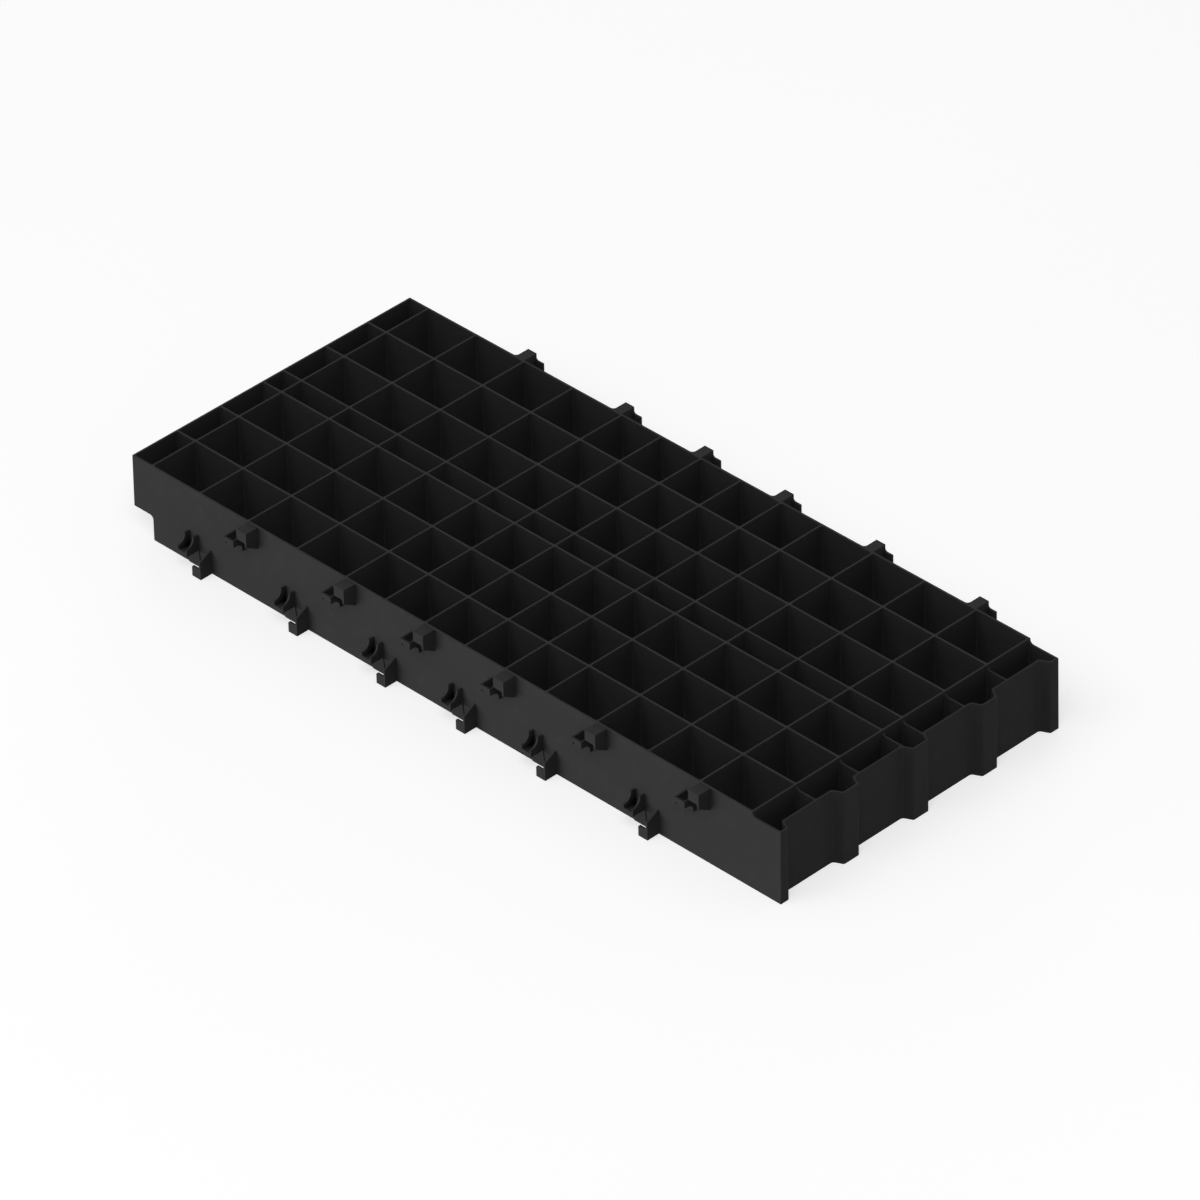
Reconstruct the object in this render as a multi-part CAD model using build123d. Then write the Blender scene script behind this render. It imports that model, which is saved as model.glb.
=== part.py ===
from build123d import *
import math
import os

# Plug tray: an open grid of thin plastic panels with side-by-side coupling clips.
#
# The tray is laid out with X along its length from the first cross divider, Y across it from
# the mid line, and Z up from the ground.  Every node is then moved by one vector, so that the
# origin lies under the middle of the whole tray's box, on the ground.
# Lengths are in millimetres and angles in degrees.

# ---------------------------------------------------------------- driving dimensions: grid
wide_pitch = 50.0            # spacing of the cross dividers near both ends
narrow_pitch = 40.0          # spacing of the cross dividers in the middle
wide_cells = 4               # wide cells at each end of a row
narrow_cells = 5             # narrow cells in the middle of a row
row_pitch = 42.6             # spacing of the long dividers over a row of cells
channel_pitch = 20.04        # spacing of the two long dividers beside the middle channel
rows_each_side = 3           # rows of cells on each side of the middle channel
tray_height = 65.0
divider_thickness = 1.5
crossing_radius = 1.5        # fillet in each corner where two panels meet
lap_clearance = 0.05         # play of a half lap, on each side

# ---------------------------------------------------------------- driving dimensions: walls
wall_thickness = 1.5         # at the top edge
wall_draft = 0.57            # outward lean of the outer faces, going down
plain_end_bay = 18.6         # first cross divider to the inner face of the plain end wall
plain_end_lift = 21.0        # ground to the lower edge of the plain end bay
notch_radius = 3.5           # inner corner under the plain end bay
wavy_end_bay = 18.85         # last cross divider to the middle of the wavy wall's recesses
wavy_end_drop = 4.1          # how far the wavy end bay's top lies below the tray's top
step_radius = 3.0            # inner corner where the top edge steps down to the wavy end bay
wave_depth = 7.65            # recess to bump, between wall middles
wave_crest_half = 7.0        # half length of a bump's flat
wave_base_half = 10.75       # half length of a bump at its foot
wave_radius = 2.6            # bends of the wavy wall, at the wall's middle
wave_bumps = 4               # spaces between bumps over the tray's width

# ---------------------------------------------------------------- driving dimensions: bars
bar_width = 3.0              # plug rest bar, across the tray
bar_height = 2.4

# ---------------------------------------------------------------- driving dimensions: clips
clip_plate = 1.5             # wall of every clip
clip_reach = 11.45           # how far the latches stand out of the wall's top edge
tab_reach = 12.4             # the same for the rear tabs and catches

# Latch box: open below and towards the plain end, right of the divider it sits at.
box_left = 0.4
box_right = 10.5
box_top_drop = 0.5
box_front_height = 8.7       # height of the front plate
box_window_radius = 3.0      # corner of the front plate's lower edge at the right plate
box_side_height = 12.0       # right plate at its outer edge
box_side_foot = 6.7          # how much lower the right plate's edge is at the wall

# Latch cup: open at the top, left of the divider.
cup_left = -13.4
cup_right = -3.3
cup_top_drop = 13.5
cup_height = 5.7             # front plate
cup_leg = 7.1                # how far the side plates run on down the wall
cup_leg_reach = 3.1
cup_leg_radius = 5.0
cup_hole_diameter = 1.6      # small vent in the front plate
cup_hole_inset = 2.35        # from the cup's left face
cup_hole_lift = 1.4          # from the cup's lower edge

# Cradle: a pocket with concave side plates, on a thin pad of the wall.
cradle_left = -13.4
cradle_right = -3.0
cradle_lift = 13.9
cradle_reach = 12.4
cradle_height = 13.6
cradle_lip = 3.0
cradle_nose = 5.9            # straight height of the side plates' outer ends
cradle_radius = 7.0
cradle_tip = 0.3             # flat on top of each side plate's outer end
pad_thickness = 0.7
pad_right_top = -2.6
pad_right_foot = -0.8

# Hook: a gusset plate with an arm that points to the plain end.
hook_right = 10.1
hook_left = 1.2
hook_reach = 11.75
hook_arm_height = 8.9
hook_outer_height = 14.9     # gusset at its outer edge
hook_wall_height = 20.9      # gusset at the wall
hook_corner_radius = 1.4

# Rear tab: goes over the cup and behind the latch box of the next tray.
tab_left = -9.2
tab_right = -0.6
tab_finger_right = 7.1
tab_finger_drop = 5.3
tab_finger_radius = 2.2
tab_height = 15.0            # outer plate
tab_web_foot = 6.0           # how much lower the web is at the wall
tab_root_radius = 3.0

# Rear catch: the lower mate of the hook.
catch_left = -9.1
catch_right = 6.8
catch_height = 9.0
catch_wall_height = 13.0

# ---------------------------------------------------------------- derived sizes and places
divider_half = divider_thickness / 2
crossing_half = divider_half + crossing_radius
cross_pitches = [wide_pitch] * wide_cells + [narrow_pitch] * narrow_cells + [wide_pitch] * wide_cells
cross_places = [sum(cross_pitches[:count]) for count in range(len(cross_pitches) + 1)]
grid_length = cross_places[-1]
side_places = [channel_pitch / 2 + row_pitch * row for row in range(rows_each_side)]
long_places = sorted([-place for place in side_places] + side_places)
inner_half_width = side_places[-1] + row_pitch - divider_half
half_width = inner_half_width + wall_thickness
row_centres = [place + row_pitch / 2 for place in side_places[:-1]]
row_centres.append((side_places[-1] + divider_half + inner_half_width) / 2)
bar_places = sorted([-place for place in row_centres] + row_centres)

lean = math.tan(math.radians(wall_draft))
lap_height = tray_height / 2
plain_inner_x = -plain_end_bay
plain_outer_x = plain_inner_x - wall_thickness
plain_foot_x = plain_outer_x - lean * (tray_height - plain_end_lift)
recess_x = grid_length + wavy_end_bay
crest_x = recess_x + wave_depth
wavy_outer_x = crest_x + wall_thickness / 2
wavy_top = tray_height - wavy_end_drop

upper_stations = cross_places[2:-1:2]
lower_stations = cross_places[1:-2:2]

front_reach = max(clip_reach, cradle_reach, hook_reach)
box_low = (plain_foot_x, -half_width - front_reach)
box_high = (wavy_outer_x, half_width + tab_reach)
to_origin = Vector(-(box_low[0] + box_high[0]) / 2, -(box_low[1] + box_high[1]) / 2, 0)

EMBED = 1.0                  # clips start this deep in the wall, before the wall is cut off them
OVERRUN = 10.0               # cutting solids run this far past what they cut
CLIP_SPAN = 50.0             # no clip reaches this far along the wall from its divider


# ---------------------------------------------------------------- helpers
def slab(low, high):
    """Box between two corners."""
    size = [b - a for a, b in zip(low, high)]
    return Pos(*low) * Box(*size, align=(Align.MIN, Align.MIN, Align.MIN))


def corner_at(sketch, point):
    """The sketch's corner nearest a point of its plane."""
    return sketch.vertices().sort_by_distance((point[0], point[1], 0))[0]


def rounded(sketch, corners):
    """Round the sketch's corners, given as (point, radius) pairs."""
    for point, radius in corners:
        sketch = fillet(corner_at(sketch, point), radius)
    return sketch


def outline(points, corners=()):
    """Closed face through the points, with the given corners rounded."""
    return rounded(Sketch() + make_face(Polyline(*points, close=True)), corners)


def plate_across_x(sketch, x_low, thickness):
    """Plate with its faces square to X; the sketch's axes are Y and Z."""
    return extrude(Plane.YZ.offset(x_low) * sketch, thickness)


def plate_across_y(sketch, y_low, thickness):
    """Plate with its faces square to Y; the sketch's axes are X and Z."""
    return extrude(Plane.XZ.offset(-y_low) * sketch, -thickness)


def side_view():
    """The tray seen from the front: notch under the plain end, lower top at the wavy end."""
    notch = (-divider_half, plain_end_lift)
    step = (grid_length + divider_half, wavy_top)
    points = [
        (plain_foot_x, plain_end_lift), notch, (-divider_half, 0), (wavy_outer_x, 0),
        (wavy_outer_x, wavy_top), step, (step[0], tray_height), (plain_outer_x, tray_height),
    ]
    return outline(points, [(notch, notch_radius), (step, step_radius)])


def crossing_core(low, high):
    """Filleted cross where two panels meet, between two heights."""
    sketch = Rectangle(2 * crossing_half, 2 * crossing_half)
    for x_side in (-1, 1):
        for y_side in (-1, 1):
            sketch -= Pos(x_side * crossing_half, y_side * crossing_half) * Circle(crossing_radius)
    return Pos(0, 0, low) * extrude(sketch, high - low)


def panel_flare(height_low, height_high):
    """Filleted end of a panel that comes along +X and butts on a wall at X = 0."""
    sketch = Pos(-crossing_radius / 2, 0) * Rectangle(crossing_radius, 2 * crossing_half)
    for side in (-1, 1):
        sketch -= Pos(-crossing_radius, side * crossing_half) * Circle(crossing_radius)
    return Pos(0, 0, height_low) * extrude(sketch, height_high - height_low)


# ---------------------------------------------------------------- panels
def side_wall(side):
    """Front (side -1) or rear (side +1) wall, with its leaning outer face."""
    section = outline([
        (side * inner_half_width, 0),
        (side * (half_width + lean * tray_height), 0),
        (side * half_width, tray_height),
        (side * inner_half_width, tray_height),
    ])
    run = plate_across_x(section, plain_foot_x, wavy_outer_x - plain_foot_x)
    reach = 2 * half_width
    return run & plate_across_y(side_view(), -reach, 2 * reach)


def plain_end_wall():
    """Short wall at the plain end, between the side walls."""
    section = outline([
        (plain_inner_x, plain_end_lift), (plain_inner_x, tray_height),
        (plain_outer_x, tray_height), (plain_foot_x, plain_end_lift),
    ])
    return plate_across_y(section, -inner_half_width, 2 * inner_half_width)


def wave_line():
    """Middle line of the wavy wall, running past both side walls."""
    bump_pitch = 2 * half_width / wave_bumps
    points = [(crest_x, -half_width - OVERRUN)]
    for count in range(wave_bumps + 1):
        centre = -half_width + count * bump_pitch
        if count > 0:
            points += [(recess_x, centre - wave_base_half), (crest_x, centre - wave_crest_half)]
        if count < wave_bumps:
            points += [(crest_x, centre + wave_crest_half), (recess_x, centre + wave_base_half)]
    points.append((crest_x, half_width + OVERRUN))
    return FilletPolyline(*points, radius=wave_radius)


def wave_band():
    """Thickness of the wavy wall in plan, over the tray's full height."""
    band = offset(wave_line(), wall_thickness / 2, kind=Kind.INTERSECTION, side=Side.BOTH)
    return extrude(make_face(band), tray_height)


def wavy_end_wall():
    """Lower end wall with bumps, between the side walls."""
    between_walls = slab((grid_length, -inner_half_width, 0), (2 * grid_length, inner_half_width, wavy_top))
    return wave_band() & between_walls


def cross_divider(place):
    """Panel across the tray: cores below, open laps above, notches for the rest bars."""
    panel = slab((-divider_half, -inner_half_width, 0), (divider_half, inner_half_width, tray_height))
    slot_half = crossing_half + lap_clearance
    notch_half = bar_width / 2 + lap_clearance
    cuts = [
        slab((-OVERRUN, y - slot_half, lap_height), (OVERRUN, y + slot_half, tray_height + OVERRUN))
        for y in long_places
    ] + [
        slab((-OVERRUN, y - notch_half, -OVERRUN), (OVERRUN, y + notch_half, bar_height))
        for y in bar_places
    ]
    core = crossing_core(0, lap_height)
    flare = panel_flare(0, tray_height)
    ends = [
        Pos(0, side * inner_half_width, 0) * Rot(0, 0, 90 * side) * flare for side in (-1, 1)
    ]
    panel = panel - cuts + [Pos(0, y, 0) * core for y in long_places] + ends
    panel = Pos(place, 0, 0) * panel
    return panel & plate_across_y(side_view(), -2 * half_width, 4 * half_width)


def long_divider(place):
    """Panel along the tray up to the wavy wall: cores above, open laps below."""
    inner_end = recess_x - wall_thickness / 2
    panel = slab((plain_inner_x, -divider_half, 0), (crest_x, divider_half, tray_height))
    slot_half = crossing_half + lap_clearance
    cuts = [
        slab((x - slot_half, -OVERRUN, -OVERRUN), (x + slot_half, OVERRUN, lap_height))
        for x in cross_places
    ]
    core = crossing_core(lap_height, tray_height)
    flare = panel_flare(0, tray_height)
    ends = [Pos(plain_inner_x, 0, 0) * Rot(0, 0, 180) * flare]
    if abs(place) > wave_base_half + crossing_half:
        ends.append(Pos(inner_end, 0, 0) * flare)
    panel = panel - cuts + [Pos(x, 0, 0) * core for x in cross_places] + ends
    panel = panel & plate_across_y(side_view(), -OVERRUN, 2 * OVERRUN)
    panel = Pos(0, place, 0) * panel - wave_band()
    return panel.solids().sort_by(Axis.X)[0]


def plug_rest_bar(place):
    """Bar along a row, flush with the ground, that keeps the plugs in their cells."""
    return slab(
        (divider_half, place - bar_width / 2, 0),
        (grid_length - divider_half, place + bar_width / 2, bar_height),
    )


# ---------------------------------------------------------------- clips
# A clip is drawn with Y as its reach out of the wall's top edge, and cut to the leaning wall.
def cut_to_wall(clip):
    """Remove what lies inside the wall's outer face."""
    section = outline([
        (-OVERRUN, 0), (lean * tray_height, 0), (0, tray_height), (-OVERRUN, tray_height),
    ])
    return clip - plate_across_x(section, -CLIP_SPAN, 2 * CLIP_SPAN)


def latch_box():
    """Top, right and front plates of the box that a rear tab's finger goes behind."""
    top = tray_height - box_top_drop
    outer_foot = top - box_side_height
    roof = slab((box_left, -EMBED, top - clip_plate), (box_right, clip_reach, top))
    side = plate_across_x(outline([
        (-EMBED, top), (clip_reach, top), (clip_reach, outer_foot), (0, outer_foot - box_side_foot),
        (-EMBED, outer_foot - box_side_foot),
    ]), box_right - clip_plate, clip_plate)
    window = (box_right - clip_plate / 2, top - box_front_height)
    front = plate_across_y(outline([
        (box_left, top), (box_right, top), (box_right, outer_foot), (window[0], outer_foot),
        window, (box_left, window[1]),
    ], [(window, box_window_radius)]), clip_reach - clip_plate, clip_plate)
    return cut_to_wall(roof + side + front)


def latch_cup():
    """Two side plates and a front plate, open at the top."""
    top = tray_height - cup_top_drop
    low = top - cup_height
    leg_low = low - cup_leg
    side_outline = outline([
        (-EMBED, top), (clip_reach, top), (clip_reach, low), (cup_leg_reach, low),
        (cup_leg_reach, leg_low), (-EMBED, leg_low),
    ], [((cup_leg_reach, low), cup_leg_radius)])
    cup = plate_across_x(side_outline, cup_left, clip_plate)
    cup += plate_across_x(side_outline, cup_right - clip_plate, clip_plate)
    cup += slab((cup_left, clip_reach - clip_plate, low), (cup_right, clip_reach, top))
    hole = Pos(cup_left + cup_hole_inset, clip_reach, low + cup_hole_lift) * Rot(90, 0, 0)
    cup -= hole * Cylinder(cup_hole_diameter / 2, 3 * clip_plate)
    return cut_to_wall(cup)


def cradle():
    """Floor, lip and two concave side plates, with the pad below them."""
    top = cradle_lift + cradle_height
    seat = (cradle_reach - cradle_tip - cradle_radius, cradle_lift + cradle_nose)
    side_outline = outline([
        (-EMBED, cradle_lift), (cradle_reach, cradle_lift), (cradle_reach, seat[1]), seat,
        (seat[0], top), (-EMBED, top),
    ], [(seat, cradle_radius)])
    body = plate_across_x(side_outline, cradle_left, clip_plate)
    body += plate_across_x(side_outline, cradle_right - clip_plate, clip_plate)
    body += slab((cradle_left, -EMBED, cradle_lift), (cradle_right, cradle_reach, cradle_lift + clip_plate))
    body += slab((cradle_left, cradle_reach - clip_plate, cradle_lift),
                 (cradle_right, cradle_reach, cradle_lift + cradle_lip))
    pad_face = lean * tray_height + pad_thickness
    body += plate_across_y(outline([
        (cradle_left, 0), (pad_right_foot, 0), (pad_right_top, cradle_lift + clip_plate),
        (cradle_left, cradle_lift + clip_plate),
    ]), -EMBED, EMBED + pad_face)
    return cut_to_wall(body)


def hook():
    """Gusset plate with an arm in the outer plane."""
    gusset = plate_across_x(outline([
        (-EMBED, 0), (hook_reach, 0), (hook_reach, hook_outer_height), (0, hook_wall_height),
        (-EMBED, hook_wall_height),
    ]), hook_right - clip_plate, clip_plate)
    inner = (hook_right - clip_plate, hook_arm_height)
    tip = (hook_left, hook_arm_height)
    arm = plate_across_y(outline([
        (hook_left, 0), (hook_right, 0), (hook_right, hook_outer_height),
        (inner[0], hook_outer_height), inner, tip,
    ], [(inner, hook_corner_radius), (tip, hook_corner_radius)]), hook_reach - clip_plate, clip_plate)
    return cut_to_wall(gusset + arm)


def rear_tab():
    """Top plate, web under its right edge and an outer plate whose finger points to the wavy end."""
    roof = slab((tab_left, -EMBED, tray_height - clip_plate), (tab_right, tab_reach, tray_height))
    foot = tray_height - tab_height
    web = plate_across_x(outline([
        (-EMBED, tray_height), (tab_reach, tray_height), (tab_reach, foot), (0, foot - tab_web_foot),
        (-EMBED, foot - tab_web_foot),
    ]), tab_right - clip_plate, clip_plate)
    finger_root = (tab_right, tray_height - tab_finger_drop)
    plate = plate_across_y(outline([
        (tab_left, tray_height), (tab_right, tray_height), finger_root,
        (tab_finger_right, finger_root[1]), (tab_finger_right, foot), (tab_left, foot),
    ], [(finger_root, tab_finger_radius)]), tab_reach - clip_plate, clip_plate)
    bead = Rectangle(tab_root_radius, tab_root_radius + EMBED, align=(Align.MAX, Align.MAX))
    bead = Pos(0, tab_root_radius) * bead - Pos(-tab_root_radius, tab_root_radius) * Circle(tab_root_radius)
    root = Pos(tab_left, 0, tray_height - clip_plate) * extrude(bead, clip_plate)
    return cut_to_wall(roof + web + plate + root)


def rear_catch():
    """Web and outer plate low on the rear wall, which a front hook goes behind."""
    web = plate_across_x(outline([
        (-EMBED, 0), (tab_reach, 0), (tab_reach, catch_height), (0, catch_wall_height),
        (-EMBED, catch_wall_height),
    ]), catch_left, clip_plate)
    plate = slab((catch_left, tab_reach - clip_plate, 0), (catch_right, tab_reach, catch_height))
    return cut_to_wall(web + plate)


def on_front(clip, x):
    """Put a clip on the front wall at a station."""
    return Pos(x, -half_width, 0) * mirror(clip, about=Plane.XZ)


def on_rear(clip, x):
    """Put a clip on the rear wall at a station."""
    return Pos(x, half_width, 0) * clip


# ---------------------------------------------------------------- nodes
def tray_nodes():
    """Every node by its name."""
    nodes = {
        "front_wall": side_wall(-1),
        "rear_wall": side_wall(1),
        "plain_end_wall": plain_end_wall(),
        "wavy_end_wall": wavy_end_wall(),
    }
    for count, x in enumerate(cross_places, 1):
        nodes[f"cross_divider_{count:02d}"] = cross_divider(x)
    for count, y in enumerate(long_places, 1):
        nodes[f"long_divider_{count:02d}"] = long_divider(y)
    for count, y in enumerate(bar_places, 1):
        nodes[f"plug_rest_bar_{count:02d}"] = plug_rest_bar(y)
    box, cup, tab = latch_box(), latch_cup(), rear_tab()
    for count, x in enumerate(upper_stations, 1):
        pair = on_front(box, x).solids() + on_front(cup, x).solids()
        nodes[f"front_latch_{count:02d}"] = Compound(children=pair)
        nodes[f"rear_tab_{count:02d}"] = on_rear(tab, x)
    seat, arm, catch = cradle(), hook(), rear_catch()
    for count, x in enumerate(lower_stations, 1):
        nodes[f"front_cradle_{count:02d}"] = on_front(seat, x)
        nodes[f"front_hook_{count:02d}"] = on_front(arm, x)
        nodes[f"rear_catch_{count:02d}"] = on_rear(catch, x)
    return nodes


def main():
    os.makedirs("parts", exist_ok=True)
    for name, shape in tray_nodes().items():
        placed = [solid.translate(to_origin) for solid in shape.solids()]
        whole = placed[0] if len(placed) == 1 else Compound(children=placed)
        whole.label = name
        export_step(whole, f"parts/{name}.step")
        print(f"{name:22s} solids {len(placed)}  volume {whole.volume:10.1f}")
    print("origin shift", to_origin)


main()
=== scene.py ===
"""Looks of the plug tray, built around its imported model, in metres.

The tray is one black plastic moulding.  The grid of panels and its four walls are made as one
closed shell, the plug rest bars and the coupling clips as pieces of their own, and everything
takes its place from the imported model's nodes.
"""
import logging
import math
from dataclasses import dataclass, field
from enum import Enum
from typing import Callable, Iterable, Sequence

import bmesh
import bpy
from mathutils import Matrix, Vector


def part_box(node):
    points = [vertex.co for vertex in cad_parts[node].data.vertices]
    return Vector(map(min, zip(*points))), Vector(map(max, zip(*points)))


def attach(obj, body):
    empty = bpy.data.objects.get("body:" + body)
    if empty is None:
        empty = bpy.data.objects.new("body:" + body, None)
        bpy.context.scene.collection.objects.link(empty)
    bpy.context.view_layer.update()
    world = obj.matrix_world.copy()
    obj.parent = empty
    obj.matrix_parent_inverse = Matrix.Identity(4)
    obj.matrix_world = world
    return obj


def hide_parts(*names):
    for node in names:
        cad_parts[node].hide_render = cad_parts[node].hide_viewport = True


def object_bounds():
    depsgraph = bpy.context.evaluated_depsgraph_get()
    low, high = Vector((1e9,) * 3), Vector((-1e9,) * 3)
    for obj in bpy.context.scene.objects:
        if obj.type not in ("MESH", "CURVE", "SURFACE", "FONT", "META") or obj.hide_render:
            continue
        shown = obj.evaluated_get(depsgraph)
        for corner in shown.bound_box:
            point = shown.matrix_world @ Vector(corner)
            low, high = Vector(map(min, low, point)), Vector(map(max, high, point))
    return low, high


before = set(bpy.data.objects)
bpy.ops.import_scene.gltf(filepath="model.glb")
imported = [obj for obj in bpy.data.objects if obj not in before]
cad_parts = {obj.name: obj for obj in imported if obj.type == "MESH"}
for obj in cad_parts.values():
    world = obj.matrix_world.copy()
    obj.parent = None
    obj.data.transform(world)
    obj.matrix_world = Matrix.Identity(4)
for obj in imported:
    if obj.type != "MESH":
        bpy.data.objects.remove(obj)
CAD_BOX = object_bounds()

log = logging.getLogger("plug_tray")

MM = 0.001
WELD = 0.002 * MM                # vertices nearer than this are one
STRAIGHT = math.radians(1)       # an outline that turns by less isn't rounded
COPLANAR = math.radians(0.5)     # faces that meet at less are one face
SHARP = math.radians(32)         # edges that turn by more are rounded
PATCH_SIDES = 8                  # edges of the largest gap that is filled after a rounding
EVEN_WEIGHT = 50                 # each face's area counts as it is in the normals beside it
WHITE = (1.0, 1.0, 1.0, 1.0)
MIX_FIRST = 6                    # the mix node's sockets for its two colours
MIX_SECOND = 7
MIX_RESULT = 2                   # and for the mixed one


# ---------------------------------------------------------------- small tools
class Turn(Enum):
    """Which way round the cross product of two headings points."""

    LEFT = 1
    RIGHT = -1


@dataclass(frozen=True)
class Corner:
    """A corner of a flat outline and the radius that rounds it."""

    x: float
    y: float
    radius: float = 0.0

    @property
    def point(self) -> Vector:
        """The corner as a flat vector."""
        return Vector((self.x, self.y))


def heading(start: Corner, end: Corner) -> Vector:
    """Unit vector from one corner to another."""
    return (end.point - start.point).normalized()


def cross(a: Vector, b: Vector) -> float:
    """Flat cross product."""
    return a.x * b.y - a.y * b.x


def arc_points(before: Corner, corner: Corner, after: Corner, steps: int) -> list[Vector]:
    """Points of the arc that rounds a corner.

    Args:
        before: The corner before it.
        corner: The corner to round.
        after: The corner after it.
        steps: Straight pieces in the arc.

    Returns:
        The arc's points in order, or the corner alone where it has no radius.
    """
    into, out = heading(before, corner), heading(corner, after)
    turn = math.atan2(cross(into, out), into.dot(out))
    if corner.radius <= 0 or abs(turn) < STRAIGHT:
        return [corner.point]
    tangent = corner.radius * math.tan(abs(turn) / 2)
    start = corner.point - into * tangent
    side = Turn.LEFT if turn > 0 else Turn.RIGHT
    centre = start + side.value * corner.radius * Vector((-into.y, into.x))
    spoke = start - centre
    points = []
    for step in range(steps + 1):
        angle = turn * step / steps
        points.append(centre + Matrix.Rotation(angle, 2) @ spoke)
    return points


def rounded_loop(corners: Sequence[Corner], steps: int) -> list[Vector]:
    """Closed outline through corners, each rounded by its own radius.

    Args:
        corners: The outline's corners in order.
        steps: Straight pieces in each rounding.

    Returns:
        The outline's points, without a repeat of the first.
    """
    count = len(corners)
    points = []
    for index, corner in enumerate(corners):
        points += arc_points(corners[index - 1], corner, corners[(index + 1) % count], steps)
    return points


def offset_line(corners: Sequence[Corner], distance: float) -> list[Corner]:
    """An open line of corners moved to its left side, radii included.

    Args:
        corners: The line's corners.  Its ends stay square to their own runs.
        distance: How far to the left it moves.

    Returns:
        The corners of the moved line.
    """
    moved = []
    for index, corner in enumerate(corners):
        into = heading(corners[index - 1], corner) if index else heading(corner, corners[1])
        out = heading(corner, corners[index + 1]) if index < len(corners) - 1 else into
        half = math.atan2(cross(into, out), into.dot(out)) / 2
        left = Matrix.Rotation(half, 2) @ Vector((-into.y, into.x))
        point = corner.point + left * distance / math.cos(half)
        radius = max(0.0, corner.radius - math.copysign(distance, half)) if corner.radius else 0.0
        moved.append(Corner(point.x, point.y, radius))
    return moved


def line_x(corners: Sequence[Corner], y: float) -> float:
    """Where a line that runs along +Y crosses a height y.

    Args:
        corners: The line's corners.
        y: The height.

    Returns:
        The crossing's x.

    Raises:
        ValueError: If the line doesn't reach the height.
    """
    for start, end in zip(corners, corners[1:]):
        if start.y <= y <= end.y:
            share = (y - start.y) / (end.y - start.y)
            return start.x + share * (end.x - start.x)
    raise ValueError(f"the line doesn't reach y = {y}")


def towards(azimuth: float, elevation: float) -> Vector:
    """Unit vector from the tray towards a lamp or the camera.

    Args:
        azimuth: Degrees round the tray from -Y towards +X.
        elevation: Degrees above the floor.

    Returns:
        The direction.
    """
    turn, lift = math.radians(azimuth), math.radians(elevation)
    return Vector((
        math.sin(turn) * math.cos(lift), -math.cos(turn) * math.cos(lift), math.sin(lift),
    ))


def new_object(name: str, data: bpy.types.ID) -> bpy.types.Object:
    """An object at the origin, linked into the scene.

    Args:
        name: The object's name.
        data: The mesh, lamp or camera that it holds.

    Returns:
        The object.
    """
    made = bpy.data.objects.new(name, data)
    bpy.context.scene.collection.objects.link(made)
    return made


def baked(source: bpy.types.Object, name: str) -> bpy.types.Mesh:
    """The mesh of an object with its modifiers applied; the object itself is removed.

    Args:
        source: The object to evaluate.
        name: Name of the new mesh.

    Returns:
        A plain mesh.
    """
    bpy.context.view_layer.update()
    evaluated = source.evaluated_get(bpy.context.evaluated_depsgraph_get())
    mesh = bpy.data.meshes.new_from_object(evaluated)
    mesh.name = name
    bpy.data.objects.remove(source)
    return mesh


def shaded(mesh: bpy.types.Mesh, crease: float = 50.0) -> bpy.types.Mesh:
    """Smooth a mesh's roundings and keep its wide faces flat.

    Args:
        mesh: The mesh to shade.
        crease: Edges sharper than this stay sharp, in degrees.

    Returns:
        The shaded copy.
    """
    mesh.shade_smooth()
    mesh.set_sharp_from_angle(angle=math.radians(crease))
    carrier = new_object(mesh.name, mesh)
    flat = carrier.modifiers.new("flat_faces", "WEIGHTED_NORMAL")
    flat.mode, flat.weight, flat.keep_sharp = "FACE_AREA", EVEN_WEIGHT, True
    return baked(carrier, mesh.name)


def round_edges(
    mesh: bpy.types.Mesh,
    width: float,
    segments: int = 2,
    leave: Callable[[bmesh.types.BMEdge], bool] = lambda edge: False,
) -> None:
    """Weld a closed mesh, join its flat faces and round its sharp edges, as a mould does.

    A rounding can leave a small gap where several edges meet, which is filled.

    Args:
        mesh: The mesh to change.
        width: Width of the rounding.
        segments: Steps in the rounding.
        leave: Says which edges stay sharp, such as those that lie on another piece.
    """
    work = bmesh.new()
    work.from_mesh(mesh)
    bmesh.ops.remove_doubles(work, verts=work.verts, dist=WELD)
    bmesh.ops.dissolve_degenerate(work, edges=work.edges, dist=WELD)
    bmesh.ops.dissolve_limit(work, angle_limit=COPLANAR, verts=work.verts, edges=work.edges)
    bmesh.ops.recalc_face_normals(work, faces=work.faces)
    sharp = [
        edge for edge in work.edges
        if edge.is_manifold and edge.calc_face_angle() > SHARP and not leave(edge)
    ]
    bmesh.ops.bevel(
        work, geom=sharp, offset=width, offset_type="OFFSET", segments=segments,
        profile=0.5, affect="EDGES", clamp_overlap=True,
    )
    bmesh.ops.remove_doubles(work, verts=work.verts, dist=WELD)
    open_edges = [edge for edge in work.edges if edge.is_boundary]
    bmesh.ops.holes_fill(work, edges=open_edges, sides=PATCH_SIDES)
    bmesh.ops.recalc_face_normals(work, faces=work.faces)
    work.to_mesh(mesh)
    work.free()


def prism(loop: Sequence[Vector], low: float, high: float, name: str) -> bpy.types.Mesh:
    """Closed prism along Y over a flat loop.

    Args:
        loop: The loop's points, x along the tray and y for the height.
        low: Where it starts along Y.
        high: Where it ends along Y.
        name: Name of the new mesh.

    Returns:
        The prism's mesh.
    """
    work = bmesh.new()
    near = [work.verts.new((point.x, low, point.y)) for point in loop]
    far = [work.verts.new((point.x, high, point.y)) for point in loop]
    work.faces.new(near)
    work.faces.new(list(reversed(far)))
    count = len(loop)
    for index in range(count):
        after = (index + 1) % count
        work.faces.new((near[after], near[index], far[index], far[after]))
    bmesh.ops.recalc_face_normals(work, faces=work.faces)
    mesh = bpy.data.meshes.new(name)
    work.to_mesh(mesh)
    work.free()
    return mesh


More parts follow.
